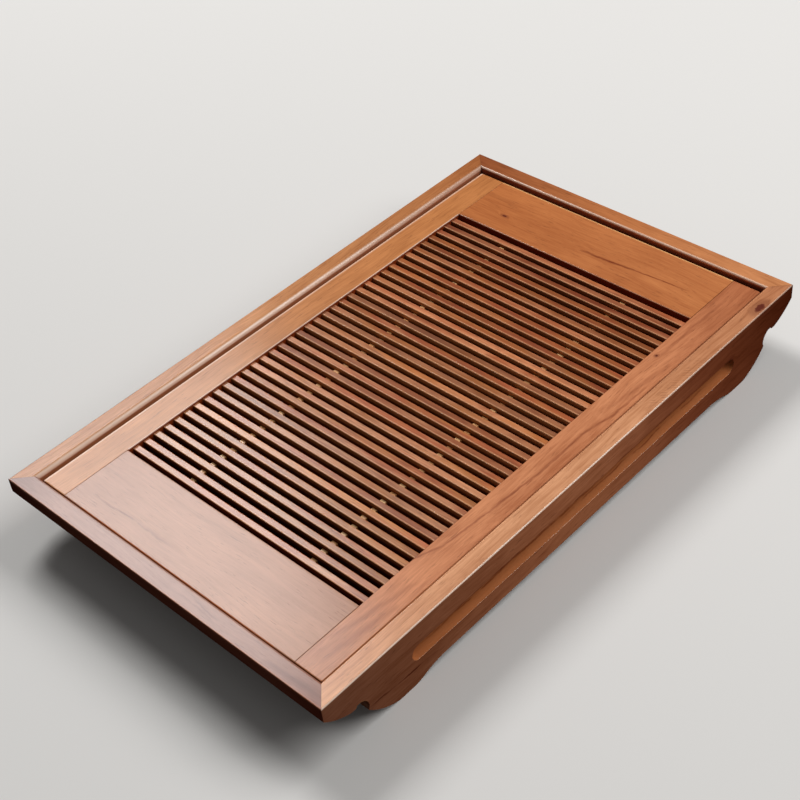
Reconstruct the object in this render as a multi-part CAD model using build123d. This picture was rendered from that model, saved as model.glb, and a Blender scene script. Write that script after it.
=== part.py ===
"""Gongfu tea tray: a low wooden box on four scrolled feet, with a lift-out slatted grille
over a loose water tray. Millimetres, +Z up, origin on the floor under the tray's centre.
Front is -Y, left is -X. The tray mirrors left to right and front to back, apart from the
back board's softer inner edge and the heights of the spacer blocks."""

import os

from build123d import *

# Whole tray
tray_length = 470.0
tray_width = 290.0
tray_height = 50.0

# Frame: side boards and end rails share one rim, mitred at the corners
rim_width = 13.5
rim_outer_round = 1.0
rim_inner_round = 1.4
rim_back_round = 3.2
rim_end_round = 0.4
end_face_height = 11.3
end_rail_soffit = 3.65
scroll_length = 96.0
foot_clearance = 5.4

# Outline of a scrolled end, as shares of (scroll_length, tray_height) from the board's top corner
lobe_mid_shares = (0.100, 0.378)
lobe_end_shares = (0.212, 0.476)
quirk_top_share = 0.442
quirk_slant_share = 0.012
cove_start_shares = (0.294, 0.442)
cove_mid_shares = (0.340, 0.514)
cove_end_shares = (0.354, 0.628)
tip_shares = (0.344, 0.684)
knee_shares = (0.479, 0.903)
heel_shares = (0.600, 1.0)
toe_shares = (0.730, 1.0)
instep_shares = ((0.788, 0.984), (0.845, 0.948), (0.920, 0.910))

# Groove along each side board, cut with a round-nosed cutter
groove_end_inset = 71.0
groove_height = 12.7
groove_depth = 5.0
groove_drop = 17.6

# Lift-out grille
grille_gap = 2.0
grille_drop = 4.0
grille_thickness = 12.0
grille_rail_width = 22.5
grille_corner_round = 1.2
grille_edge_round = 0.9
grille_seam_round = 0.3
slat_opening = 332.0
tenon_length = 6.0
end_tongue_thickness = 5.0

# Slats and the spacer blocks between them, whose drops are shares of a slat's height
slat_count = 37
slat_width = 4.88
slat_height = 8.0
slat_drop = 1.8
slat_round = 0.6
spacer_width = 5.2
spacer_row_offset = 56.0
spacer_drop_shares = (0.49, 0.45, 0.47, 0.40, 0.46, 0.35, 0.43, 0.37, 0.44, 0.39)

# Ledges, aprons and bottom
side_ledge_width = 10.0
side_ledge_height = 8.0
end_ledge_height = 6.0
apron_setback = 1.5
apron_thickness = 9.0
bottom_thickness = 5.0
bottom_lip = 3.0
housing_depth = 4.0
block_size = 12.0

# Water tray
liner_headroom = 2.0
liner_end_gap = 2.5
liner_side_gap = 1.5
liner_wall = 2.0
liner_flange = 4.0
liner_corner_round = 12.0
liner_foot_bevel = 2.5

# Levels and places that follow from the sizes above
groove_length = tray_length - 2 * groove_end_inset
cutter_radius = (groove_height ** 2 / 4 + groove_depth ** 2) / (2 * groove_depth)
grille_top = tray_height - grille_drop
grille_bottom = grille_top - grille_thickness
grille_length = tray_length - 2 * (rim_width + grille_gap)
grille_width = tray_width - 2 * (rim_width + grille_gap)
grille_rail_inner = grille_width / 2 - grille_rail_width
slat_top = grille_top - slat_drop
slat_bottom = slat_top - slat_height
slat_gap = (slat_opening - slat_count * slat_width) / (slat_count + 1)
slat_pitch = slat_width + slat_gap
inner_half_width = tray_width / 2 - rim_width
rail_inner_x = tray_length / 2 - lobe_end_shares[0] * scroll_length - end_rail_soffit
apron_outer_x = tray_length / 2 - knee_shares[0] * scroll_length - apron_setback
apron_inner_x = apron_outer_x - apron_thickness
bottom_underside = foot_clearance + bottom_lip
bottom_top = bottom_underside + bottom_thickness
end_ledge_bottom = grille_bottom - end_ledge_height
side_ledge_bottom = grille_bottom - side_ledge_height
liner_top = grille_bottom - liner_headroom
liner_length = 2 * (apron_inner_x - liner_end_gap)
liner_width = 2 * (inner_half_width - block_size - liner_side_gap)


def save(shape, name):
    """Write one piece to its own STEP file."""
    export_step(shape, os.path.join("parts", name + ".step"))


def slab(low, high):
    """A box between two opposite corners."""
    size = [b - a for a, b in zip(low, high)]
    middle = [(a + b) / 2 for a, b in zip(low, high)]
    return Pos(*middle) * Box(*size)


def upright(face, y_start, y_end):
    """Extrude a face drawn in (x, z) from one y to another."""
    return Pos(0, y_end, 0) * Rot(90, 0, 0) * extrude(face, y_end - y_start)


def flat(face, z_start, z_end):
    """Extrude a face drawn in (x, y) from one z to another."""
    return Pos(0, 0, z_start) * extrude(face, z_end - z_start)


def edges_at(solid, **place):
    """Edges whose whole length lies on the given coordinates."""
    tolerance = rim_width / 10000
    found = []
    for edge in solid.edges():
        box = edge.bounding_box()
        spans = {"x": (box.min.X, box.max.X), "y": (box.min.Y, box.max.Y), "z": (box.min.Z, box.max.Z)}
        if all(abs(end - place[axis]) < tolerance for axis in place for end in spans[axis]):
            found.append(edge)
    return found


def front_to_back(solid):
    """The same piece on the tray's other long side."""
    return mirror(solid, Plane.XZ)


def end_to_end(solid):
    """The same piece at the tray's other end."""
    return mirror(solid, Plane.YZ)


def scroll_point(shares, side):
    """A point of the scrolled outline, in (x, z), at the end that side names."""
    along, down = shares
    return (side * (tray_length / 2 - along * scroll_length), (1 - down) * tray_height)


def lobe(side):
    """The rounded underside of an end, from the foot of its upright face to the lobe's flat."""
    face_foot = (side * tray_length / 2, tray_height - end_face_height)
    mid = scroll_point(lobe_mid_shares, side)
    return ThreePointArc(face_foot, mid, scroll_point(lobe_end_shares, side))


def scroll(side):
    """The outline of one scrolled end, from the top corner round to the straight bottom edge."""
    top = (side * tray_length / 2, tray_height)
    lobe_end = scroll_point(lobe_end_shares, side)
    flat_end = (side * rail_inner_x, lobe_end[1])
    quirk_x = side * (rail_inner_x - quirk_slant_share * scroll_length)
    quirk = (quirk_x, (1 - quirk_top_share) * tray_height)
    cove_start = scroll_point(cove_start_shares, side)
    cove_end = scroll_point(cove_end_shares, side)
    tip = scroll_point(tip_shares, side)
    heel = scroll_point(heel_shares, side)
    toe = scroll_point(toe_shares, side)
    instep = [scroll_point(shares, side) for shares in instep_shares]
    bottom = (side * (tray_length / 2 - scroll_length), foot_clearance)
    return [
        Line(top, (top[0], tray_height - end_face_height)),
        lobe(side),
        Polyline(lobe_end, flat_end, quirk, cove_start),
        ThreePointArc(cove_start, scroll_point(cove_mid_shares, side), cove_end),
        Line(cove_end, tip),
        ThreePointArc(tip, scroll_point(knee_shares, side), heel),
        Line(heel, toe),
        ThreePointArc(toe, instep[0], instep[1]),
        ThreePointArc(instep[1], instep[2], bottom),
    ]


def groove_path():
    """All that a round-nosed cutter takes away along the front board: a round bar with round
    ends, whose middle line runs just outside the board's face."""
    reach = (groove_length - groove_height) / 2
    end = reach + cutter_radius
    outline = [
        Line((-end, 0), (end, 0)),
        CenterArc((reach, 0), cutter_radius, 0, 90),
        Line((reach, cutter_radius), (-reach, cutter_radius)),
        CenterArc((-reach, 0), cutter_radius, 90, 90),
    ]
    bar = revolve(make_face(outline), Axis.X)
    return Pos(0, groove_depth - cutter_radius - tray_width / 2,
               tray_height - groove_drop - groove_height / 2) * bar


def side_board(housed, inner_round):
    """The front side board: scrolled ends, a groove along its face, mitred corners and housings
    for the pieces that it holds."""
    end, half_bottom = tray_length / 2, tray_length / 2 - scroll_length
    outline = scroll(-1) + scroll(1) + [
        Line((-end, tray_height), (end, tray_height)),
        Line((-half_bottom, foot_clearance), (half_bottom, foot_clearance)),
    ]
    outer, inner = -tray_width / 2, -inner_half_width
    board = upright(make_face(outline), outer, inner)
    board = fillet(edges_at(board, y=outer, z=tray_height), rim_outer_round)
    board = fillet(edges_at(board, y=inner, z=tray_height), inner_round)
    board -= groove_path()
    for side in (-1, 1):
        corner = Polyline((side * end, outer), (side * end, inner), (side * (end - rim_width), inner),
                          close=True)
        board -= flat(make_face(corner), 0, tray_height)
    return board - housed


def end_rail():
    """The left end rail, moulded underneath like the lobe of the side boards, with mitred ends."""
    end, shoulder, reach = -tray_length / 2, rim_width - tray_length / 2, -rail_inner_x
    lobe_end = scroll_point(lobe_end_shares, -1)
    section = [
        lobe(-1),
        Polyline(lobe_end, (reach, lobe_end[1]), (reach, grille_bottom), (shoulder, grille_bottom),
                 (shoulder, tray_height), (end, tray_height), (end, tray_height - end_face_height)),
    ]
    rail = upright(make_face(section), -tray_width / 2, tray_width / 2)
    rail = fillet(edges_at(rail, x=end, z=tray_height), rim_end_round)
    rail = fillet(edges_at(rail, x=shoulder, z=tray_height), rim_inner_round)
    for side in (-1, 1):
        outer, inner = side * tray_width / 2, side * inner_half_width
        corner = Polyline((end, outer), (shoulder, inner), (reach, inner), (reach, outer), close=True)
        rail -= flat(make_face(corner), 0, tray_height)
    return rail


def side_ledge():
    """The batten on the front side board that carries the grille's long edge."""
    return slab((-apron_inner_x, -inner_half_width, side_ledge_bottom),
                (apron_inner_x, side_ledge_width - inner_half_width, grille_bottom))


def end_ledge():
    """The board between end rail and apron that carries the grille's left edge."""
    return slab((-rail_inner_x, -inner_half_width, end_ledge_bottom),
                (-apron_inner_x, inner_half_width, grille_bottom))


def bottom_board():
    """The thin board that closes the tray underneath, let into the side boards and aprons."""
    reach_x, reach_y = apron_inner_x + housing_depth, inner_half_width + housing_depth
    return slab((-reach_x, -reach_y, bottom_underside), (reach_x, reach_y, bottom_top))


def apron(bottom):
    """The left end board under the overhanging end, housed in both side boards and grooved for
    the bottom board."""
    reach_y = inner_half_width + housing_depth
    board = slab((-apron_outer_x, -reach_y, foot_clearance), (-apron_inner_x, reach_y, end_ledge_bottom))
    return board - bottom


def corner_blocks():
    """A block glued into each inner corner, from the bottom board up to the ledge."""
    inner_x, inner_y = apron_inner_x - block_size, inner_half_width - block_size
    block = slab((-apron_inner_x, -inner_half_width, bottom_top), (-inner_x, -inner_y, side_ledge_bottom))
    pair = [block, end_to_end(block)]
    return pair + [front_to_back(one) for one in pair]


def water_tray():
    """The loose reservoir: thin walls, rounded corners and a flat flange round the top."""
    wall_length, wall_width = liner_length - 2 * liner_flange, liner_width - 2 * liner_flange
    body = flat(RectangleRounded(wall_length, wall_width, liner_corner_round), bottom_top, liner_top)
    body = chamfer(body.faces().sort_by(Axis.Z)[0].edges(), liner_foot_bevel)
    flange = flat(RectangleRounded(liner_length, liner_width, liner_corner_round + liner_flange),
                  liner_top - liner_wall, liner_top)
    hollow = flat(RectangleRounded(wall_length - 2 * liner_wall, wall_width - 2 * liner_wall,
                                   liner_corner_round - liner_wall), bottom_top + liner_wall, liner_top)
    hollow = chamfer(hollow.faces().sort_by(Axis.Z)[0].edges(), liner_foot_bevel - liner_wall / 2)
    return body + flange - hollow


def slat_bar(index):
    """One slat as it is planed, long enough to enter both rails."""
    low_x = slat_gap - slat_opening / 2 + index * slat_pitch
    reach = grille_rail_inner + tenon_length
    return slab((low_x, -reach, slat_bottom), (low_x + slat_width, reach, slat_top))


def slat(index):
    """One slat with its two top edges eased."""
    bar = slat_bar(index)
    top = bar.faces().sort_by(Axis.Z)[-1]
    return fillet(top.edges().filter_by(Axis.Y), slat_round)


def spacer_row(side):
    """A row of small blocks, one between each two neighbouring slats, sunk by differing amounts."""
    y = side * spacer_row_offset
    blocks = []
    for index in range(slat_count - 1):
        low_x = slat_gap - slat_opening / 2 + index * slat_pitch + slat_width
        drop = spacer_drop_shares[index * (2 + side) % len(spacer_drop_shares)] * slat_height
        blocks.append(slab((low_x, y - spacer_width / 2, slat_bottom),
                           (low_x + slat_gap, y + spacer_width / 2, slat_top - drop)))
    return blocks


def grille_end():
    """The wide left end board of the grille, tongued into both rails."""
    outer, inner = -grille_length / 2, -slat_opening / 2
    board = slab((outer, -grille_rail_inner, grille_bottom), (inner, grille_rail_inner, grille_top))
    long_edges = edges_at(board, x=outer, z=grille_top) + edges_at(board, x=inner, z=grille_top)
    board = fillet(long_edges, grille_edge_round)
    middle = (grille_bottom + grille_top) / 2
    reach = grille_rail_inner + tenon_length
    tongue = slab((outer + tenon_length, -reach, middle - end_tongue_thickness / 2),
                  (inner, reach, middle + end_tongue_thickness / 2))
    return board + tongue


def grille_rail(tenons):
    """The front rail of the grille, with a mortise for each slat and each end board's tongue."""
    half, outer, inner = grille_length / 2, -grille_width / 2, -grille_rail_inner
    rail = slab((-half, outer, grille_bottom), (half, inner, grille_top))
    corners = edges_at(rail, x=-half, y=outer) + edges_at(rail, x=half, y=outer)
    rail = fillet(corners, grille_corner_round)
    top = rail.faces().sort_by(Axis.Z)[-1]
    around = [edge for edge in top.edges() if edge.center().Y < inner - grille_edge_round]
    rail = fillet(around, grille_edge_round)
    rail = fillet(edges_at(rail, y=inner, z=grille_top), grille_seam_round)
    return rail - tenons


os.makedirs("parts", exist_ok=True)

bottom = bottom_board()
left_apron = apron(bottom)
housed = [left_apron, end_to_end(left_apron), bottom]
left_rail = end_rail()
left_end = grille_end()
mortised = [slat_bar(index) for index in range(slat_count)] + [left_end, end_to_end(left_end)]
front_rail = grille_rail(mortised)

save(side_board(housed, rim_inner_round), "side_board_front")
save(front_to_back(side_board(housed, rim_back_round)), "side_board_back")
save(left_rail, "end_rail_left")
save(end_to_end(left_rail), "end_rail_right")
save(side_ledge(), "ledge_front")
save(front_to_back(side_ledge()), "ledge_back")
save(end_ledge(), "ledge_left")
save(end_to_end(end_ledge()), "ledge_right")
save(left_apron, "apron_left")
save(end_to_end(left_apron), "apron_right")
save(bottom, "bottom_board")
save(Compound(corner_blocks()), "corner_blocks")
save(water_tray(), "water_tray")
save(front_rail, "grille_rail_front")
save(front_to_back(front_rail), "grille_rail_back")
save(left_end, "grille_end_left")
save(end_to_end(left_end), "grille_end_right")
for index in range(slat_count):
    save(slat(index), f"slat_{index + 1:02d}")
save(Compound(spacer_row(-1)), "spacer_row_front")
save(Compound(spacer_row(1)), "spacer_row_back")

print("slat gap", round(slat_gap, 3), "pitch", round(slat_pitch, 3))
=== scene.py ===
"""Looks and stage for a gongfu tea tray: a low wooden box on scrolled feet, with a lift-out
slatted grille over a loose water tray. Laid out as an add-on and run as a script.
Lengths are in metres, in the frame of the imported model: front is -Y, left is -X, +Z is up."""

import math
import random

import bmesh
import bpy
from bpy.props import FloatProperty, FloatVectorProperty, IntProperty, PointerProperty
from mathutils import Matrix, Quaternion, Vector


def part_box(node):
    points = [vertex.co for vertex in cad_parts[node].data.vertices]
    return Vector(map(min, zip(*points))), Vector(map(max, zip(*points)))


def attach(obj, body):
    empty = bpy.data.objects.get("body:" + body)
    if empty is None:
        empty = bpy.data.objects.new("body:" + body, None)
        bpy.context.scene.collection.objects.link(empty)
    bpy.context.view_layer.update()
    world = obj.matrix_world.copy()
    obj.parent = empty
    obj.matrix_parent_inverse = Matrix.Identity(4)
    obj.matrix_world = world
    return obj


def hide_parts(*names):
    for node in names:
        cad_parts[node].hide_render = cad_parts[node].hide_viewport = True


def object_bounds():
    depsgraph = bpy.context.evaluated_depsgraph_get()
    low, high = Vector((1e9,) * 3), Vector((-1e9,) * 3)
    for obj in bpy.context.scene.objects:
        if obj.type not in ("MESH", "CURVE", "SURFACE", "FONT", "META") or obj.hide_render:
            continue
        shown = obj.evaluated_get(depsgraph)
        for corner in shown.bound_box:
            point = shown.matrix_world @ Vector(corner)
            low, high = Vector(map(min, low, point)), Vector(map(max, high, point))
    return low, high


bl_info = {
    "name": "Gongfu Tea Tray",
    "version": (1, 0, 0),
    "blender": (4, 5, 0),
    "location": "3D View > Sidebar > Tea Tray",
    "description": "Finishes, spacer blocks, water tray and stage for a slatted wooden tea tray",
    "category": "Object",
}

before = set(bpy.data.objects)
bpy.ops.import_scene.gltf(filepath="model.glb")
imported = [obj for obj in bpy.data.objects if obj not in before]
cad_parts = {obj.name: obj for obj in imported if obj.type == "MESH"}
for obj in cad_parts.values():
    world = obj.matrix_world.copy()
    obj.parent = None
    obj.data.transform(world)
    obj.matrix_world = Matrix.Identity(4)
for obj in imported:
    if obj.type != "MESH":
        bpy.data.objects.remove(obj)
cad_box = [list(corner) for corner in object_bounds()]

MM = 0.001
TRAY_HALF = Vector(cad_box[1])
RIM_TOP = cad_box[1][2]
GRILLE_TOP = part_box("grille_rail_front")[1].z
RIM_INNER_Y = -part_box("side_board_front")[1].y
PANEL_HALF = Vector(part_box("grille_rail_back")[1])
RAIL_INNER_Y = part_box("grille_rail_back")[0].y
OPENING_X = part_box("grille_end_right")[0].x
SLAT_COUNT = sum(name.startswith("slat_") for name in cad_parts)
SLAT_ONE, SLAT_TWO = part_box("slat_01"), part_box("slat_02")
SLAT_PITCH = SLAT_TWO[0].x - SLAT_ONE[0].x
SLAT_GAP = SLAT_TWO[0].x - SLAT_ONE[1].x
SLAT_TOP = SLAT_ONE[1].z

FAR = 1.0                   # further from the middle than any board reaches
TOOL_PITCH = 3.1 * MM       # between the marks of the cutter
VEIN_SWAY = 4.5             # how far a vein wanders, in its own widths
MOST_SWAY = 4.5 * MM        # and at most
KNOT_PUSH = 4.0 * MM        # how far a knot pushes the figure aside
PITH = (0.0, 0.02, -0.05)   # what the growth lines run round
WOOD_BUMP, PLASTIC_BUMP = 0.25 * MM, 0.1 * MM
EDGE_BREAKS = 0.45               # how broken the painted edge highlights and rubbed edges are
BOARD_LEVEL = 0.1, 0.9      # how level a face is where its varnish starts and is full
SLAT_LEVEL = 0.975, 0.998
KNOT, MITRE, RIM_FACE_SHADE, GROOVE = 0.95, 0.4, 0.8, 0.85    # how strongly these and the next show; the marks on the rim faces and the deep slat sides are painted shade
END_GRAIN, SAW_PATCH, SAW_MARK, SLAT_GAP_SHADE = 0.5, 0.4, 0.15, 0.85
BLOCK_NARROWEST, BLOCK_LEAN, BLOCK_TAPER = 0.86, 0.15 * MM, 0.97
SMOOTH_BELOW = math.radians(40)
FLOOR_DROP = 0.2 * MM       # keeps the floor just clear of the feet

ORIGIN = (0.0, 0.0, 0.0)
MIDDLE = (0.5, 0.5, 0.5)    # what the channels of a noise vary about
WHITE = (1.0, 1.0, 1.0, 1.0)
BLACK = (0.0, 0.0, 0.0, 1.0)


# -------------------- sizes and colours

def linear(red, green, blue):
    """An sRGB colour from 0 to 255 as the linear colour that a shader takes."""
    channels = []
    for value in (red, green, blue):
        share = value / 255
        channels.append(share / 12.92 if share <= 0.04045 else ((share + 0.055) / 1.055) ** 2.4)
    return (*channels, 1.0)


def colour(name, description, *srgb):
    """A colour that a user can change, given in sRGB."""
    return FloatVectorProperty(name=name, description=description, subtype="COLOR", size=4,
                               min=0.0, max=1.0, default=linear(*srgb))


def length(name, description, default):
    """A length that a user can change, in metres."""
    return FloatProperty(name=name, description=description, default=default, min=0.0,
                         unit="LENGTH", precision=5)


def angle(name, description, degrees):
    """An angle that a user can change, given in degrees."""
    return FloatProperty(name=name, description=description, default=math.radians(degrees),
                         subtype="ANGLE")


def power(name, description, watts):
    """A light's power that a user can change."""
    return FloatProperty(name=name, description=description, default=watts, min=0.0, unit="POWER")


WOODS = {    # the pale and deep colour of each part's wood
    "front": ("front board", (236, 172, 128), (188, 124, 84)),
    "board": ("back board", (216, 150, 98), (170, 106, 60)),
    "rail": ("left end rail", (176, 126, 106), (142, 96, 78)),
    "far_rail": ("right end rail", (223, 151, 101), (179, 113, 70)),
    "grille": ("grille's front rail", (221, 147, 103), (174, 103, 66)),
    "back_rail": ("grille's back rail", (210, 144, 93), (170, 109, 65)),
    "panel": ("left end board", (190, 135, 104), (161, 110, 83)),
    "far_panel": ("right end board", (206, 130, 78), (176, 102, 58)),
    "inner": ("boards inside the tray", (150, 104, 70), (112, 72, 48)),
}


class TEATRAY_PG_colours(bpy.types.PropertyGroup):
    """Stains of the wooden parts, painted highlights and painted shade on them, and the plastic of
    the water tray.
    """
    streak: colour("Streak", "Darkest streaks and pores of all the wood", 92, 48, 32)
    slat_pale: colour("Slat pale", "Palest slats", 226, 155, 112)
    slat_red: colour("Slat red", "Reddest slats", 200, 111, 72)
    slat_brown: colour("Slat brown", "Darkest slats", 193, 116, 76)
    slat_yellow: colour("Slat yellow", "Yellowest slats", 214, 137, 80)
    slat_side: colour("Slat side", "Sawn sides of the slats", 190, 132, 85)
    # painted highlight along the slats' upper edges
    slat_edge: colour("Slat edge", "Rubbed upper edges of the slats", 240, 182, 136)
    slat_stain: colour("Slat stain", "Damp patches on the sides of the slats", 140, 100, 60)
    # painted shade, darker further down the slats' sides between the slats
    slat_deep: colour("Slat deep", "Sides of the slats far down", 84, 40, 24)
    spacer_pale: colour("Spacer pale", "Palest spacer blocks", 255, 208, 148)
    spacer_deep: colour("Spacer deep", "Darkest spacer blocks", 242, 176, 114)
    # painted shade on all upright faces
    side_stain: colour("Upright face shade", "Deeper stain that upright faces keep", 226, 200, 190)
    # painted shade on the upright faces of the left end rail
    end_stain: colour("Left end shade", "Deepest stain, on the left end's face", 192, 178, 176)
    groove: colour("Groove", "Wood inside the side boards' grooves", 174, 101, 56)
    # painted shade on the rim's inner upright faces: the end rails' darker at the front than at
    # the back, the side boards' paler
    rim_face: colour("Rim face", "Inner upright faces of the end rails", 104, 46, 34)
    far_rim_face: colour("Far rim face", "The end rails' inner faces at the back", 146, 78, 58)
    side_rim_face: colour("Side rim face", "Inner faces of the side boards", 176, 108, 74)
    # painted shade on upright faces towards the slats
    opening_face: colour("Opening face", "Upright faces towards the slats", 214, 164, 136)
    # painted highlight along edges
    worn: colour("Edge highlight", "Rubbed edges where the varnish is thick", 252, 222, 200)
    # rubbed bare wood along one edge, and a painted glow of bounced light along another
    warm: colour("Warm arris", "Edges rubbed down to the bare wood", 214, 120, 62)
    # painted highlight along an edge
    golden: colour("Golden arris", "Edges where light wood shows", 252, 200, 136)
    bare: colour("Bare wood", "Unvarnished wood at a chip", 176, 134, 84)
    seam: colour("Seam", "Glue lines and closed joints", 84, 40, 24)
    knot: colour("Knot", "Heart of a knot", 94, 34, 24)
    vein: colour("Vein", "What a dark vein leaves of the wood's colour", 160, 112, 98)
    plastic: colour("Plastic", "Water tray", 24, 23, 22)

    for kind, (part, pale, deep) in WOODS.items():
        __annotations__[kind + "_pale"] = colour(
            f"{part} pale".capitalize(), f"Lightest wood of the {part}", *pale)
        __annotations__[kind + "_deep"] = colour(
            f"{part} deep".capitalize(), f"Darker figure of the {part}", *deep)
    del kind, part, pale, deep


class TEATRAY_PG_sizes(bpy.types.PropertyGroup):
    """Sizes of the figure in the wood and of the pieces made here."""
    ring_spacing: length("Ring spacing", "Distance between growth lines", 4.6 * MM)
    seam_width: length("Seam width", "Width of a closed joint's dark line", 0.45 * MM)
    arris_width: length("Arris width", "Width of the pale line along an edge", 1.5 * MM)
    spacer_bevel: length("Spacer bevel", "Eased edge of a spacer block", 0.35 * MM)
    flange: length("Flange", "Width of the water tray's flange", 4.0 * MM)
    wall: length("Wall", "Thickness of the water tray", 2.0 * MM)
    lip: length("Lip", "Rounding of the water tray's upper edges", 0.5 * MM)
    corner: length("Corner", "Corner radius of the water tray's flange", 16.0 * MM)
    foot: length("Foot bevel", "Rounding of the water tray's lower edge", 2.5 * MM)
    corner_segments: IntProperty(name="Corner segments", description="Faces round a corner",
                                 default=10, min=2, max=32)


class TEATRAY_PG_stage(bpy.types.PropertyGroup):
    """Floor, light and camera."""
    floor_size: length("Floor size", "Side of the square floor", 14.0)
    fade_start: length("Fade start", "Distance where the floor starts to fade", 0.7)
    fade_end: length("Fade end", "Distance where the floor is all background", 2.4)
    floor_seen: colour("Floor seen", "Floor colour that the camera sees", 226, 224, 221)
    floor_bounce: colour("Floor bounce", "Floor colour that lights the tray", 104, 102, 100)
    sky: colour("Sky", "Background that the camera sees", 236, 236, 236)
    sky_fill: FloatProperty(name="Sky fill", description="Strength of the even light",
                            default=0.15, min=0.0)
    key_power: power("Key power", "Power of the soft light", 50.0)
    key_azimuth: angle("Key azimuth", "Turn from +Y towards +X", 21.1)
    key_height: angle("Key height", "Angle above the horizon", 47.8)
    key_roll: angle("Key roll", "Turn of the soft light about its beam", 0.0)
    key_distance: length("Key distance", "Distance of the soft light", 3.0)
    key_width: length("Key width", "Length of the soft light", 1.0)
    key_depth: length("Key depth", "Height of the soft light", 1.0)
    fill_power: power("Fill power", "Power of the front light", 42.0)
    fill_azimuth: angle("Fill azimuth", "Turn from +Y towards +X", 132)
    fill_height: angle("Fill height", "Angle above the horizon", 46)
    fill_roll: angle("Fill roll", "Turn of the front light about its beam", 42)
    fill_distance: length("Fill distance", "Distance of the front light", 2.6)
    fill_width: length("Fill width", "Length of the front light", 2.2)
    fill_depth: length("Fill depth", "Height of the front light", 1.0)
    camera_lens: FloatProperty(name="Camera lens", description="Focal length in millimetres",
                               default=68.38, min=1.0)
    camera_place: FloatVectorProperty(name="Camera place", description="Camera's position",
                                      subtype="XYZ", unit="LENGTH",
                                      default=(-0.53592, -0.56317, 0.72088))
    camera_turn: FloatVectorProperty(name="Camera turn", description="Camera's rotation",
                                     subtype="EULER", default=(0.842272, 0.086613, -0.821927))


# -------------------- shader nodes

class Term:
    """A node's output, to calculate with as with a number or, where it is one, a vector."""

    def __init__(self, socket):
        self.socket, self.tree = socket, socket.id_data
        self.vector = socket.type in {"VECTOR", "RGBA"}

    def __add__(self, other):
        return calc("ADD", self, other)

    def __sub__(self, other):
        return calc("SUBTRACT", self, other)

    def __rsub__(self, other):
        return calc("SUBTRACT", other, self)

    def __truediv__(self, other):
        return calc("DIVIDE", self, other)

    def __mul__(self, other):
        plain = not other.vector if isinstance(other, Term) else isinstance(other, (int, float))
        if self.vector and plain:
            return add(self.tree, "VectorMath", {0: self, "Scale": other}, operation="SCALE")[0]
        return calc("MULTIPLY", self, other)

    __rmul__ = __mul__

    def __abs__(self):
        return calc("ABSOLUTE", self)

    def length(self):
        """How long a vector is."""
        return calc("LENGTH", self)

    def part(self, axis):
        """The part of a vector along an axis, or the matching channel of a colour."""
        return add(self.tree, "SeparateXYZ", {0: self})[axis]

    def clamp(self):
        """The same number, kept between 0 and 1 by the Math node that gives it."""
        self.socket.node.use_clamp = True
        return self


class Outputs:
    """The outputs of a node, as terms: by number or name, or as attributes."""

    def __init__(self, node):
        self.node = node

    def __getitem__(self, key):
        return Term(self.node.outputs[key])

    __getattr__ = __getitem__


def named(value):
    """The user's colour that a name stands for, or any other value as it is."""
    colours = bpy.context.scene.tea_tray_colours
    return getattr(colours, value) if isinstance(value, str) else value


def feed(socket, value):
    """Join a socket to a term, or give it a plain value or a named colour."""
    if isinstance(value, Term):
        value.tree.links.new(value.socket, socket)
    else:
        socket.default_value = named(value)


def add(tree, kind, inputs, **settings):
    """Add a node, set its properties and fill its inputs with terms or plain values."""
    node = tree.nodes.new("ShaderNode" + kind)
    for key, value in settings.items():
        setattr(node, key, value)
    for key, value in inputs.items():
        feed(node.inputs[key], value)
    return Outputs(node)


def tree_of(values):
    """The node tree that the terms among some values are in."""
    return next(value.tree for value in values if isinstance(value, Term))


def calc(operation, *values):
    """The result of a Math node or, for vectors, a Vector Math node."""
    vectors = any(isinstance(value, Term) and value.vector for value in values)
    made = add(tree_of(values), "VectorMath" if vectors else "Math", dict(enumerate(values)),
               operation=operation)
    return made["Value" if operation in {"LENGTH", "DOT_PRODUCT"} else 0]


def ramp(value, low, high, start=0.0, end=1.0, shape="SMOOTHSTEP"):
    """A number carried from low..high to start..end."""
    return add(value.tree, "MapRange", {
        "Value": value, "From Min": low, "From Max": high, "To Min": start, "To Max": end},
        interpolation_type=shape).Result


def blend(factor, first, second, mode="MIX"):
    """Two colours mixed."""
    return add(tree_of((factor, first, second)), "Mix", {0: factor, 6: first, 7: second},
               data_type="RGBA", blend_type=mode)[2]


def noise(vector, scale, detail=2.0, rough=0.5):
    """Noise of so many cycles to the metre."""
    return add(vector.tree, "TexNoise", {
        "Vector": vector, "Scale": scale, "Detail": detail, "Roughness": rough})


def grainy(vector, finer, scale, detail=2.0, rough=0.5):
    """Noise drawn out along X, and finer than that across it."""
    return noise(vector * (1.0, finer, finer), scale, detail, rough)


def colour_row(value, row):
    """A colour that goes through a row of (value from 0 to 1, colour)."""
    made = add(value.tree, "ValToRGB", {"Fac": value})
    steps = made.node.color_ramp.elements
    for spot, tint in row[1:-1]:
        steps.new(spot).color = named(tint)
    steps[0].color, steps[-1].color = named(row[0][1]), named(row[-1][1])
    return made.Color


def stops(vector, axis, row):
    """A colour that changes along an axis through a row of (place in metres, colour)."""
    first, last = row[0][0], row[-1][0]
    return colour_row((vector.part(axis) - first) / (last - first),
                      [((spot - first) / (last - first), tint) for spot, tint in row])


# -------------------- shared node groups

GROUPS = {}
SOCKETS = {"VALUE": "NodeSocketFloat", "VECTOR": "NodeSocketVector", "RGBA": "NodeSocketColor"}


def shared(name, vectors, **inputs):
    """Note a function that gives a node group's outputs, with the group's name and inputs: its
    vectors, and the others with their defaults."""
    def note(outputs):
        GROUPS[name] = {**dict.fromkeys(vectors.split(), ORIGIN), **inputs}, outputs
        return outputs
    return note


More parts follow.
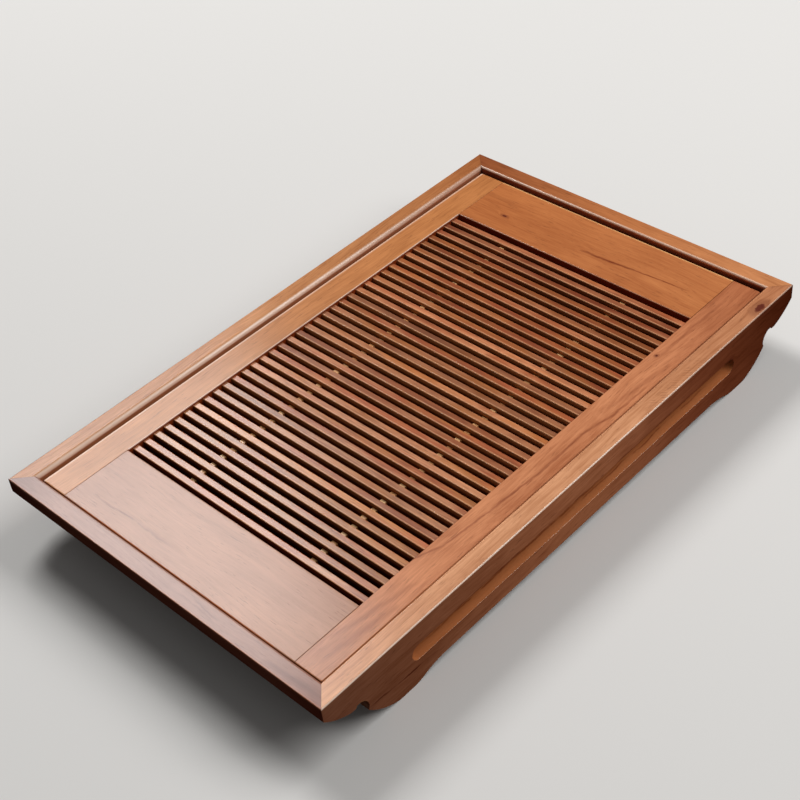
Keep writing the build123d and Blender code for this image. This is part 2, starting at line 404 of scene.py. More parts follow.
def build_groups():
    """Build each shared node group once."""
    for name, (inputs, outputs) in GROUPS.items():
        if name in bpy.data.node_groups:
            continue
        tree = bpy.data.node_groups.new(name, "ShaderNodeTree")
        for label, default in inputs.items():
            kind = ("VALUE" if isinstance(default, float) else
                    "VECTOR" if len(default) == 3 else "RGBA")
            tree.interface.new_socket(name=label, in_out="INPUT",
                                      socket_type=SOCKETS[kind]).default_value = default
        result = tree.nodes.new("NodeGroupOutput")
        for label, term in outputs(Outputs(tree.nodes.new("NodeGroupInput"))).items():
            tree.interface.new_socket(name=label, in_out="OUTPUT",
                                      socket_type=SOCKETS[term.socket.type])
            feed(result.inputs[label], term)


def place(name, **inputs):
    """Place a shared node group where its inputs are and give its outputs."""
    return add(tree_of(inputs.values()), "Group", inputs, node_tree=bpy.data.node_groups[name])


@shared("wood figure", "Vector", Pale=WHITE, Deep=WHITE, Streak=WHITE, Figure=1.0,
        Lines=0.3, Streaks=0.3, Spacing=4.6 * MM, Sheen=0.4)
def wood_figure(given):
    """Wood with its grain along X: flowing bands, growth lines, fibres, pores and mottle."""
    flow = grainy(given.Vector, 2.2, 7.0).Color - MIDDLE
    moved = given.Vector + flow * (0.0, 0.016, 0.016)
    bands = grainy(moved, 7.0, 4.0, 2.0, 0.55).Fac
    stripes = grainy(moved, 13.0, 17.0, 3.0, 0.6).Fac
    fibres = grainy(moved, 13.0, 58.0, 3.0, 0.65).Fac - 0.5
    pores = grainy(moved, 9.0, 96.0, 2.0, 0.6).Fac
    mottle = grainy(given.Vector, 1.5, 38.0, 1.0, 0.4).Fac
    rings = ((moved - PITH) * (0.0, 1.0, 1.0)).length() / given.Spacing
    ring = calc("FRACT", rings + bands * 5.0)
    line = calc("POWER", ring, 5.0) * ramp(ring, 1.0, 0.93) * given.Lines
    tone = (bands - 0.5) * 2.6 + (stripes - 0.5) * 1.5 + fibres * 2.4 + (mottle - 0.5) * 1.2
    tone = (tone * given.Figure + 0.45 + line).clamp()
    base = blend(tone, given.Pale, given.Deep)
    heart = grainy(moved + (0.31, 0.17, 0.43), 9.0, 3.4, 3.0, 0.6).Fac
    base = blend(ramp(heart, 0.56, 0.74) * given.Streaks, base, given.Streak)
    pit = ramp(pores, 0.6, 0.74)
    return {"Color": blend(pit * 0.34, base, given.Streak),
            "Roughness": (fibres * 0.12 + pit * 0.12 + given.Sheen).clamp(),
            "Height": fibres * 0.35 - pit}


@shared("knot", "Vector Figured Centre Radii")
def knot(given):
    """A knot: pushes the figure round it and gives its dark heart as a mask."""
    offset = (given.Vector - given.Centre) / given.Radii
    rag = grainy(given.Vector, 1.0, 420.0).Fac
    reach = offset.length() + (rag - 0.5) * 0.7
    push = calc("NORMALIZE", offset) * (0.0, KNOT_PUSH, KNOT_PUSH) * ramp(reach, 4.0, 0.6)
    return {"Vector": given.Figured - push,
            "Mask": calc("MAXIMUM", ramp(reach, 1.25, 0.55), ramp(reach, 2.3, 1.2) * 0.38)}


@shared("vein", "Vector Start End", Width=2.0 * MM)
def vein(given):
    """A dark vein from one point to another, thin at its ends, and the thinner the straighter."""
    run = given.End - given.Start
    sway = calc("MINIMUM", given.Width * VEIN_SWAY, MOST_SWAY)
    wander = (grainy(given.Vector, 1.0, 45.0, 3.0, 0.6).Color - MIDDLE) * sway
    offset = given.Vector - given.Start + wander
    share = (calc("DOT_PRODUCT", offset, run) / calc("DOT_PRODUCT", run, run)).clamp()
    aside = (offset - run * share).length() / given.Width
    return {"Mask": ramp(aside, 1.0, 0.0) * calc("POWER", share * (1.0 - share) * 4.0, 0.6)}


@shared("arris", "Vector Corner Across", Width=MM, Broken=0.0, Reach=FAR)
def arris(given):
    """How near a point is to a straight edge that the tray has on each side of its middle, up
    to a reach from the middle, thinned and broken here and there, as the painted edge
    highlights and rubbed edges are."""
    near = ((abs(given.Vector) - given.Corner) * given.Across).length()
    away = (given.Vector * ((1.0, 1.0, 1.0) - given.Across)).length()
    mask = ramp(near / given.Width, 1.0, 0.25) * ramp(given.Reach - away, 0.0, MM)
    rub = (grainy(given.Vector, 1.0, 90.0, 3.0, 0.6).Fac - 0.5) * given.Broken
    return {"Mask": (rub * mask + mask).clamp()}


@shared("mitre", "Vector Corner", Width=0.4 * MM)
def mitre_line(given):
    """The dark line of a mitred joint at the tray's corners."""
    offset = given.Corner - abs(given.Vector)
    return {"Mask": ramp(abs(offset.part("X") - offset.part("Y")) / given.Width, 1.0, 0.3)}


@shared("piece in a row", "Vector", First=0.0, Pitch=0.01, Seed=0.0, Inset=0.0, Top=0.0, Width=MM)
def piece_in_row(given):
    """Gives each piece of an evenly spaced row its own tone and its own part of the figure,
    and finds its left upper edge, where a painted highlight goes."""
    run = (given.Vector.part("X") - given.First) / given.Pitch
    inside = calc("FRACT", run) * given.Pitch - given.Inset
    below = given.Vector.part("Z") - given.Top
    reach = calc("SQRT", inside * inside + below * below) / given.Width
    draw = add(run.tree, "TexWhiteNoise", {"W": calc("FLOOR", run) + given.Seed},
               noise_dimensions="1D").Color
    return {"Vector": given.Vector + draw * 3.0, "Tone": draw.part("X"),
            "Shade": draw.part("Y"), "Edge": ramp(reach, 1.0, 0.35)}


@shared("end grain", "Normal Grain")
def end_grain(given):
    """Where a surface faces along the grain, which drinks more stain."""
    facing = abs(calc("DOT_PRODUCT", given.Normal, given.Grain))
    return {"Mask": ramp(facing, 0.45, 0.95)}


@shared("varnish", "Normal", Full=0.75, Thin=0.1, Start=BOARD_LEVEL[0], End=BOARD_LEVEL[1])
def varnish(given):
    """Where a surface faces up, and so carries most of the varnish."""
    return {"Weight": ramp(given.Normal.part("Z"), given.Start, given.End,
                           given.Thin, given.Full, "LINEAR")}


@shared("saw marks", "Vector", Top=0.0)
def saw_marks(given):
    """The sides of the slats: fine saw marks across the Y direction, damp patches, and how far
    down a point is, which lays painted shade deeper between the slats."""
    marks = noise(given.Vector * (60.0, 700.0, 160.0), 1.0, 2.0, 0.6).Fac
    patch = noise(given.Vector * (90.0, 38.0, 90.0), 1.0, 3.0, 0.6).Fac
    down = given.Top - given.Vector.part("Z")
    return {"Mask": ramp(marks, 0.42, 0.66), "Patch": ramp(patch, 0.42, 0.62),
            "Depth": ramp(down, 1.8 * MM, 4.4 * MM)}


@shared("tool marks", "Vector", Start=0.0, End=0.1, Edge=0.1, Top=0.05)
def tool_marks(given):
    """Short slanting marks of a cutter between two places along X, near the outer edge."""
    run = calc("DOT_PRODUCT", given.Vector, (1.0, 0.8, 0.0))
    cuts = calc("SINE", run * (math.tau / TOOL_PITCH))
    x, y, z = (given.Vector.part(axis) for axis in "XYZ")
    return {"Mask": ramp(cuts, 0.1, 1.0) * ramp(noise(given.Vector, 160.0).Fac, 0.4, 0.6)
            * ramp(x - given.Start, 0.0, 12.0 * MM) * ramp(given.End - x, 0.0, 12.0 * MM)
            * ramp(given.Edge - abs(y), 8.5 * MM, 5.5 * MM) * ramp(given.Top - z, MM, 0.0)}


@shared("groove", "Vector Low High")
def groove_inside(given):
    """Where a point, seen from the middle of the tray, is between two corners of a box."""
    here = abs(given.Vector)
    sides = here - given.Low, given.High - here
    return {"Mask": math.prod(calc("GREATER_THAN", side.part(axis), 0.0)
                              for side in sides for axis in "XYZ")}


# -------------------- materials

def new_material(name):
    """A new material, the inputs of its Principled shader, and its coordinates."""
    made = bpy.data.materials.new(name)
    made.use_nodes = True
    tree = made.node_tree
    tree.nodes.clear()
    shader = Outputs(tree.nodes.new("ShaderNodeBsdfPrincipled"))
    add(tree, "OutputMaterial", {"Surface": shader["BSDF"]})
    return made, shader.node.inputs, add(tree, "TexCoord", {})


def wood(name, kind=None, grain="X", shift=ORIGIN, figure=0.5, lines=0.3, streaks=0.3,
         sheen=0.28, coat=0.5, knots=(), veins=(), arrises=(), mitre=None, seams=(), groove=None,
         rim_face=None, row=None, relief=0.25, side=None, shade=None, tone=None,
         deep_share=0.45, tooled=None, fade=None):
    """A varnished wood in its kind's colours. knots are (centre, radii) with or without a
    colour, veins (start, end, width, strength), arrises (corner, across, share of the usual
    width, strength, colour) with or without a reach, which lay painted highlights, or rubbed
    bare wood or a painted glow, along edges, seams (corner, across, share, strength), and
    tooled (start, end, strength). groove and rim_face are boxes, the second with its colours
    of painted shade at the front and back. side colours sawn sides, with painted shade further
    down between the slats. tone and shade are rows of (place, colour) of painted shade that
    darken the wood and its upright faces where less light and sheen fall. fade is (start, end,
    what is left of the arrises there), and thins the painted highlights. row is for pieces in a
    row: its start, seed and palette, how much their depth varies on the left and right, and
    their colour along them, and the strength of their painted edge highlight."""
    build_groups()
    sizes = bpy.context.scene.tea_tray_sizes
    made, shader, coords = new_material(name)
    here, normal = coords.Object, coords.Normal
    lengthwise = grain == "X"
    turned = add(here.tree, "Mapping", {
        "Vector": here, "Location": shift,
        "Rotation": (0.0, 0.0, 0.0 if lengthwise else -math.pi / 2)})[0]
    marks = []

    def mark(mask, strength, tint, mode="MIX"):
        """Note a mark that is laid over the wood's colour."""
        marks.append((mask * strength, tint, mode))

    if row:
        first, seed, palette, drawn, varied, edge = row
        series = place("piece in a row", Vector=here, First=first, Pitch=SLAT_PITCH, Seed=seed,
                       Inset=SLAT_GAP / 2 + 0.5 * MM, Top=SLAT_TOP - 0.1 * MM,
                       Width=sizes.arris_width * 0.55)
        turned = turned + (series.Vector - here)
        patch = grainy(turned, 5.0, 17.0, 3.0, 0.6).Fac
        pale = colour_row(((patch - 0.5) * varied + series.Tone).clamp(),
                          [(number / (len(palette) - 1), stop)
                           for number, stop in enumerate(palette)])
        spread = ramp(here.part("X"), -OPENING_X, OPENING_X, *drawn)
        depth = ramp(series.Shade, 0.0, 1.0, 1.0 - spread, 1.0)
        pale = blend(1.0, pale, depth, "MULTIPLY")
        deep = blend(deep_share, pale, "streak")
        # painted highlight along each piece's left upper edge
        mark(series.Edge, edge, "slat_edge")
    else:
        pale, deep = kind + "_pale", kind + "_deep"
    for centre, radii, *tint in knots:
        across = radii if lengthwise else (radii[1], radii[0], radii[2])
        outputs = place("knot", Vector=here, Figured=turned, Centre=centre, Radii=across)
        turned = outputs.Vector
        mark(outputs.Mask, KNOT, tint[0] if tint else "knot")
    for start, end, width, strength in veins:
        mark(place("vein", Vector=here, Start=start, End=end, Width=width).Mask, strength,
             "vein", "MULTIPLY")
    worn, dry = 0.0, 1.0
    # fade thins the painted edge highlights along X
    lasting = ramp(here.part("X"), *fade[:2], 1.0, fade[2]) if fade else 1.0
    # arrises: painted highlights, or rubbed bare wood or a painted glow on a few edges; the coat
    # is raised there too
    for corner, across, share, strength, tint, *reach in arrises:
        mask = place("arris", Vector=here, Corner=corner, Across=across,
                     Width=sizes.arris_width * share, Broken=EDGE_BREAKS,
                     Reach=reach[0] if reach else FAR).Mask * lasting
        mark(mask, strength, tint)
        worn = calc("MAXIMUM", mask * strength, worn)
    for corner, across, share, strength in seams:
        mask = place("arris", Vector=here, Corner=corner, Across=across,
                     Width=sizes.seam_width * share).Mask
        mark(mask, strength, "seam")
        dry = (dry - mask).clamp()
    if tooled:
        start, end, strength = tooled
        mark(place("tool marks", Vector=here, Start=start, End=end, Edge=TRAY_HALF.y,
                   Top=RIM_TOP).Mask, strength, "streak")
    if mitre:
        mark(place("mitre", Vector=here, Corner=mitre, Width=sizes.seam_width).Mask, MITRE, "seam")
    body = place("wood figure", Vector=turned, Pale=pale, Deep=deep, Streak="streak",
                 Figure=figure, Lines=lines, Streaks=streaks, Spacing=sizes.ring_spacing,
                 Sheen=sheen)
    facing = place("end grain", Normal=normal,
                   Grain=(1.0, 0.0, 0.0) if lengthwise else (0.0, 1.0, 0.0)).Mask
    shown = blend(facing * END_GRAIN, body.Color, "streak")
    axis = "X" if row else grain
    # tone: painted shade, darker where less light and sheen fall
    if tone:
        shown = blend(1.0, shown, stops(here, axis, tone), "MULTIPLY")
    upright = place("varnish", Normal=normal, Full=0.0, Thin=1.0).Weight
    if side:
        sawn = place("saw marks", Vector=here, Top=SLAT_TOP)
        sides = blend(sawn.Patch * SAW_PATCH, side, "slat_stain")
        sides = blend(sawn.Mask * SAW_MARK, sides, "streak")
        # painted shade: the slats' sides darker further down between the slats, and along the tray
        # by shade
        sides = blend(sawn.Depth * SLAT_GAP_SHADE, sides, "slat_deep")
        sides = blend(1.0, sides, stops(here, axis, shade), "MULTIPLY")
        shown = blend(upright, shown, sides)
    elif coat:
        # painted shade on the upright faces, more where a shade row darkens them
        sides = blend(1.0, shown, "side_stain", "MULTIPLY")
        if shade:
            sides = blend(1.0, sides, stops(here, axis, shade), "MULTIPLY")
        shown = blend(upright, shown, sides)
    if groove:
        inside = place("groove", Vector=here, Low=groove[0], High=groove[1]).Mask
        shown = blend(inside * GROOVE, shown, "groove")
        dry = (dry - inside).clamp()
    # painted shade on the rim's inner upright faces, changing from front to back
    if rim_face:
        low, high, near, far = rim_face
        inside = place("groove", Vector=here, Low=low, High=high).Mask
        lit = stops(here, grain, ((-TRAY_HALF.y, near), (TRAY_HALF.y, far)))
        shown = blend(inside * RIM_FACE_SHADE, shown, lit)
    for mask, tint, mode in marks:
        shown = blend(mask, shown, tint, mode)
    feed(shader["Base Color"], shown)
    feed(shader["Roughness"], body.Roughness)
    feed(shader["Normal"], add(here.tree, "Bump", {
        "Strength": relief, "Distance": WOOD_BUMP, "Height": body.Height}).Normal)
    if coat:
        start, end = SLAT_LEVEL if row else BOARD_LEVEL
        weight = place("varnish", Normal=normal, Full=coat, Thin=0.0, Start=start, End=end).Weight
        feed(shader["Coat Weight"], calc("MAXIMUM", weight * dry, worn))
    feed(shader["Specular IOR Level"], 0.0)
    feed(shader["Coat Roughness"], 0.2)
    return made


def plastic(name, tint):
    """Moulded plastic with a fine, even texture."""
    made, shader, coords = new_material(name)
    here = coords.Object
    broad = noise(here, 24.0, 3.0).Fac
    paler = tuple(min(1.0, channel * 1.8) for channel in tint[:3]) + (1.0,)
    feed(shader["Base Color"], blend(broad, tint, paler))
    feed(shader["Roughness"], ramp(broad, 0.3, 0.7, 0.42, 0.55))
    feed(shader["Normal"], add(here.tree, "Bump", {
        "Strength": 0.35, "Distance": PLASTIC_BUMP, "Height": noise(here, 1400.0).Fac}).Normal)
    return made


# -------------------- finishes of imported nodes

def along_x(y, z, *rest):
    """An edge or seam along X at a place, with its share of the width and so on."""
    return (0.0, y, z), (0.0, 1.0, 1.0), *rest


def along_y(x, z, *rest):
    """An edge or seam along Y, likewise."""
    return (x, 0.0, z), (1.0, 0.0, 1.0), *rest


def veins_from(corner, *rows):
    """Veins given by both ends, in X, Y and Z or in X and Y, and the width, all in millimetres
    from a corner, and the strength."""
    made = []
    for *ends, width, strength in rows:
        half = len(ends) // 2
        start, end = (Vector(corner) + Vector(point).to_3d() * MM
                      for point in (ends[:half], ends[half:]))
        made.append((start, end, width * MM, strength))
    return made


def finish(node, material):
    """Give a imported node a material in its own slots."""
    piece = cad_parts[node]
    if not piece.material_slots:
        piece.data.materials.append(material)
    for holder in piece.material_slots:
        holder.material = material


class Step:
    """What the steps have in common."""
    bl_options = {"REGISTER", "UNDO"}


class TEATRAY_OT_frame_boards(Step, bpy.types.Operator):
    """Finish the mitred side boards and end rails"""
    bl_idname = "teatray.frame_boards"
    bl_label = "Finish Frame"

    def execute(self, context):
        half_x, half_y = TRAY_HALF.x, TRAY_HALF.y
        inner_x = half_x - (half_y - RIM_INNER_Y)
        mitre = (half_x, half_y, 0.0)
        low, high = 20.0 * MM, RIM_TOP - 2.4 * MM
        # the rim's inner upright faces, in boxes, with the colours of their painted shade
        side_rim_shade = ((-FAR, RIM_INNER_Y - MM, low), (FAR, RIM_INNER_Y + 0.6 * MM, high),
                     "side_rim_face", "side_rim_face")
        end_rim_shade = ((inner_x - MM, -FAR, low), (inner_x + 0.6 * MM, FAR, high),
                    "rim_face", "far_rim_face")
        groove = ((-FAR, half_y - 5.3 * MM, 19.0 * MM),
                  (165.0 * MM, half_y - 0.15 * MM, 33.1 * MM))
        # In these boards, tone is painted shade where less light and sheen fall, shade is painted
        # shade on upright faces, fade thins the painted highlights of the arrises, and one arris
        # is rubbed bare wood.
        finish("side_board_front", wood(
            "front_board_wood", "front", shift=(0.3, 0.0, 0.0), lines=0.35, streaks=0.35,
            coat=0.55, mitre=mitre, groove=groove, rim_face=side_rim_shade,
            shade=((-half_x, linear(184, 188, 202)), (-0.03, WHITE), (0.01, WHITE),
                   (0.12, linear(212, 194, 190)), (half_x, linear(140, 110, 96))),
            tone=((-half_x, WHITE), (0.05, WHITE), (half_x, linear(222, 206, 196))),
            arrises=[along_x(half_y - 0.4 * MM, RIM_TOP - 0.4 * MM, 0.5, 0.9, "worn")],
            fade=(0.0, 0.22, 0.45),
            # the dark line on the rim's inner edge is painted shade of the gap beside the grille
            seams=[along_x(RIM_INNER_Y + 0.3 * MM, RIM_TOP - 0.6 * MM, 1.3, 0.5)],
            knots=[((0.1995, -0.1408, RIM_TOP), (0.0062, 0.003, 0.003)),
                   ((0.1595, -half_y + 3.0 * MM, 0.029), (0.003, 0.0034, 0.0036)),
                   ((-0.2075, -half_y, 0.0235), (0.0026, 0.0026, 0.0026), "bare")],
            veins=veins_from((0.0, -half_y, 0.0),
                             (-206, 0, 17.3, -142, 0, 12.6, 1.2, 1.0),
                             (-168, 0, 32.3, 168, 0, 32.3, 1.0, 0.85),
                             (-160, 4.6, 24.0, 40, 4.6, 23.6, 1.1, 0.7),
                             (-30, 3.7, 22.2, 155, 3.9, 22.6, 0.9, 0.65)),
            tooled=(0.066, 0.14, 0.3)))
        finish("side_board_back", wood(
            "back_board_wood", "board", shift=(1.7, 0.4, 0.2), coat=0.42, mitre=mitre,
            groove=groove, rim_face=side_rim_shade, fade=(-0.05, half_x, 0.5),
            tone=((-half_x, WHITE), (0.04, WHITE), (half_x, linear(206, 182, 162))),
            arrises=[along_x(RIM_INNER_Y + 0.6 * MM, RIM_TOP - 1.4 * MM, 1.7, 0.85, "worn")]))
        finish("end_rail_left", wood(
            "left_rail_wood", "rail", grain="Y", shift=(0.9, 0.0, 0.1), figure=0.45, lines=0.2,
            streaks=0.35, mitre=mitre, rim_face=end_rim_shade,
            # painted shade on the left end rail's upright faces
            shade=((-FAR, "end_stain"), (FAR, "end_stain")),
            tone=((-half_y, linear(228, 206, 196)), (-0.1, WHITE), (0.1, WHITE),
                  (half_y, linear(199, 185, 187))),
            # rubbed bare wood along the outer edge
            arrises=[along_y(half_x, RIM_TOP, 1.0, 0.28, "warm")],
            veins=veins_from((0.0, 0.0, RIM_TOP),
                             (-231, -94, -229.2, -142, 4.2, 0.55),
                             (-226.2, -29, -229.2, -53, 1.1, 0.5),
                             (-228.2, -18, -230.5, -50, 1.1, 0.45))))
        finish("end_rail_right", wood(
            "right_rail_wood", "far_rail", grain="Y", shift=(2.1, 0.0, 0.3), mitre=mitre,
            rim_face=end_rim_shade,
            tone=((-half_y, WHITE), (0.0, linear(233, 217, 199)), (half_y, linear(182, 152, 134))),
            arrises=[along_y(inner_x + 0.5 * MM, RIM_TOP - 0.5 * MM, 1.0, 0.6, "worn")]))
        return {"FINISHED"}


class TEATRAY_OT_grille_boards(Step, bpy.types.Operator):
    """Finish the rails and end boards of the lift-out grille"""
    bl_idname = "teatray.grille_boards"
    bl_label = "Finish Grille Boards"

    def execute(self, context):
        top, end_x, end_y = GRILLE_TOP, PANEL_HALF.x, PANEL_HALF.y
        across = ((0.0, RAIL_INNER_Y, 0.0), (0.0, 1.0, 0.0), 1.0, 0.6)
        # a painted highlight along the opening's edge
        opening = along_y(OPENING_X, top, 0.5, 0.3, "worn")
        outer = end_x - 0.3 * MM, top - 0.3 * MM
        # painted shade on the upright faces towards the slats
        opening_shade = ((-FAR, "opening_face"), (FAR, "opening_face"))
        # In these boards, tone is painted shade where less light and sheen fall, shade is painted
        # shade on upright faces, and the arrises are painted highlights or a painted glow.
        finish("grille_rail_front", wood(
            "front_rail_wood", "grille", shift=(0.45, 0.1, 0.0), figure=0.55, lines=0.35,
            tone=((-end_x, linear(230, 231, 232)), (-0.13, WHITE), (0.08, WHITE),
                  (end_x, linear(214, 196, 186))),
            seams=[along_x(RAIL_INNER_Y, top, 1.0, 0.6),
                   # the dark line along the rail's outer edge is painted shade of the gap beside
                   # the rim
                   along_x(end_y - 0.5 * MM, top, 1.8, 0.32)],
            knots=[((0.1195, -0.1118, top), (0.0014, 0.001, 0.0014))],
            veins=veins_from((0.0, 0.0, top),
                             (-212, -118, -150, -124.5, 4.6, 0.45),
                             (-196, -110.8, -128, -122.5, 3.6, 0.38),
                             (-126, -104, -100, -114.5, 1.5, 0.6),
                             (-112, -112.8, -60, -117, 1.5, 0.6),
                             (-75, -116, -8, -121.5, 1.4, 0.65),
                             (-20, -120.7, 36, -119.6, 1.6, 0.65),
                             (26, -119, 60, -125.5, 1.5, 0.6),
                             (50, -124.5, 90, -125.5, 1.4, 0.55),
                             (112, -113, 200, -115.5, 2.2, 0.4),
                             (50, -117, 118, -125, 3.6, 0.36))))
        finish("grille_rail_back", wood(
            "back_rail_wood", "back_rail", shift=(1.25, 0.5, 0.2), streaks=0.25, coat=0.42,
            shade=opening_shade,
            tone=((-end_x, WHITE), (-0.05, WHITE), (0.05, linear(252, 243, 232)),
                  (end_x, linear(251, 238, 218))),
            arrises=[along_x(end_y - 0.8 * MM, top - 0.2 * MM, 1.1, 0.5, "worn"),
                     along_x(RAIL_INNER_Y + 0.2 * MM, top - 0.2 * MM, 0.55, 0.6, "worn",
                             OPENING_X)]))
        finish("grille_end_left", wood(
            "left_end_wood", "panel", grain="Y", shift=(0.15, 0.0, 0.0), figure=0.42,
            lines=0.25, streaks=0.2, seams=[across],
            tone=((-0.12, linear(246, 240, 230)), (-0.05, WHITE), (0.03, WHITE),
                  (0.11, linear(246, 243, 243))),
            # a painted highlight along the opening, and a painted glow of bounced light along the
            # outer edge
            arrises=[opening, along_y(*outer, 0.5, 0.75, "warm", 0.09)],
            veins=veins_from((0.0, 0.0, top), (-206.2, 92, -205, 20, 1.1, 0.6),
                             (-205.5, 70, -203.5, 5, 2.4, 0.3))))
        finish("grille_end_right", wood(
            "right_end_wood", "far_panel", grain="Y", shift=(1.9, 0.3, 0.0), streaks=0.25,
            shade=opening_shade, seams=[across],
            tone=((-0.1, WHITE), (0.0, linear(250, 246, 241)), (0.1, linear(246, 238, 225))),
            # painted highlights along the opening and the outer edge
            arrises=[opening, along_y(*outer, 1.2, 0.6, "golden")],
            knots=[((0.1846, 0.0766, top), (0.0024, 0.0012, 0.002))],
            veins=veins_from((0.0, 0.0, top), (184.6, 4, 186.9, -44, 1.9, 0.95),
                             (186.5, -34, 190.6, -90, 1.3, 0.85))))
        return {"FINISHED"}


class TEATRAY_OT_slats(Step, bpy.types.Operator):
    """Finish the slats, each in a tone of its own"""
    bl_idname = "teatray.slats"
    bl_label = "Finish Slats"

    def execute(self, context):
        palette = ("slat_brown", "slat_pale", "slat_yellow", "slat_red", "slat_pale")
        # tone is painted shade, darker towards the right; shade is painted shade on the slats'
        # sides at both ends; the row's last number is the strength of a painted highlight along
        # each slat's edge.
        material = wood(
            "slat_wood", grain="Y", figure=0.85, lines=0.4, streaks=0.4, sheen=0.27, coat=0.6,
            side="slat_side",
            row=(SLAT_ONE[0].x - SLAT_GAP / 2, 3.0, palette, (0.22, 0.5), 1.5, 0.4),
            tone=((-OPENING_X, linear(244, 252, 254)), (-0.1, linear(248, 252, 254)),
                  (0.0, linear(243, 235, 229)), (OPENING_X, linear(238, 214, 202))),
            shade=((-OPENING_X, linear(140, 104, 100)), (-0.07, linear(236, 228, 228)),
                   (0.04, WHITE), (OPENING_X, linear(206, 180, 168))))
        for number in range(SLAT_COUNT):
            finish(f"slat_{number + 1:02d}", material)
        return {"FINISHED"}


class TEATRAY_OT_inner_boards(Step, bpy.types.Operator):
    """Finish the ledges, aprons, corner blocks and bottom board"""
    bl_idname = "teatray.inner_boards"
    bl_label = "Finish Inner Boards"

    def execute(self, context):
        bare = {"coat": 0.0, "relief": 0.4}
        long_wood = wood("inner_wood_long", "inner", shift=(0.6, 0.2, 0.0), figure=0.7,
                         sheen=0.6, **bare)
        cross_wood = wood("inner_wood_cross", "inner", grain="Y", shift=(1.1, 0.7, 0.0),
                          figure=0.7, sheen=0.6, **bare)
        for node in ("ledge_front", "ledge_back"):
            finish(node, long_wood)
        for node in ("ledge_left", "ledge_right", "apron_left", "apron_right", "corner_blocks"):
            finish(node, cross_wood)
        finish("bottom_board", wood("bottom_wood", "inner", shift=(2.4, 0.9, 0.1), figure=0.9,
                                    lines=0.5, sheen=0.65, **bare))
        return {"FINISHED"}


# -------------------- pieces made here

def to_object(shape, name, material):
    """Make a finished bmesh an object in the scene."""
    mesh = bpy.data.meshes.new(name)
    shape.to_mesh(mesh)
    shape.free()
    mesh.materials.append(material)
    piece = bpy.data.objects.new(name, mesh)
    bpy.context.scene.collection.objects.link(piece)
    return piece


def stand_in(piece, body, slot, *nodes):
    """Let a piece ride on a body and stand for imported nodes."""
    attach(piece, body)
    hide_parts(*nodes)


def round_off(shape, edges, offset, segments=1):
    """Bevel edges of a bmesh."""
    bmesh.ops.bevel(shape, geom=list(edges), offset=offset, affect="EDGES", segments=segments,
                    profile=0.5, material=-1)


def smooth_by_angle(piece, limit):
    """Shade a piece smooth where its faces meet at less than an angle."""
    for face in piece.data.polygons:
        face.use_smooth = True
    shape = bmesh.new()
    shape.from_mesh(piece.data)
    for edge in shape.edges:
        edge.smooth = edge.is_manifold and edge.calc_face_angle(0.0) < limit
    shape.to_mesh(piece.data)
    shape.free()


class TEATRAY_OT_spacers(Step, bpy.types.Operator):
    """Build the two rows of small blocks that hold the slats apart"""
    bl_idname = "teatray.spacers"
    bl_label = "Build Spacer Blocks"

    def execute(self, context):
        palette = ("spacer_deep", "spacer_pale") * 2
        chance = random.Random(11)
        for side, seed in (("front", 40.0), ("back", 80.0)):
            node = "spacer_row_" + side
            row = self.row(node, context.scene.tea_tray_sizes.spacer_bevel, chance)
            material = wood(node + "_wood", figure=0.3, lines=0.15, streaks=0.0, deep_share=0.2,
                            row=(SLAT_ONE[0].x, seed, palette, (0.15, 0.15), 0.3, 0.0))
            stand_in(to_object(row, "spacer_blocks_" + side, material), "grille",
                     "spacer_wood", node)
        return {"FINISHED"}

    def row(self, node, bevel, chance):
        """One row of slightly uneven blocks, each as high as its packed block."""
        first_x = SLAT_ONE[1].x + SLAT_GAP / 2
        tops = {}
        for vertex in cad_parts[node].data.vertices:
            number = round((vertex.co.x - first_x) / SLAT_PITCH)
            tops[number] = max(tops.get(number, 0.0), vertex.co.z)
        low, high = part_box(node)
        made = bmesh.new()
        for number in sorted(tops):
            size = Vector((SLAT_GAP, (high.y - low.y) * chance.uniform(BLOCK_NARROWEST, 1.0),
                           tops[number] - low.z))
            block = bmesh.ops.create_cube(made, size=1.0)["verts"]
            bmesh.ops.scale(made, vec=size, verts=block)
            lean = chance.uniform(-BLOCK_LEAN, BLOCK_LEAN)
            for vertex in block:
                if vertex.co.z > 0:
                    if vertex.co.y * lean > 0:
                        vertex.co.z -= abs(lean)
                    vertex.co.y *= BLOCK_TAPER
            bmesh.ops.translate(made, verts=block, vec=(
                first_x + number * SLAT_PITCH, (low.y + high.y) / 2, low.z + size.z / 2))
            edges = {edge for vertex in block for edge in vertex.link_edges}
            round_off(made, sorted(edges, key=lambda edge: edge.index), bevel)
        if len(tops) != SLAT_COUNT - 1:
            raise RuntimeError("the spacer blocks don't fill the gaps between the slats")
        return made


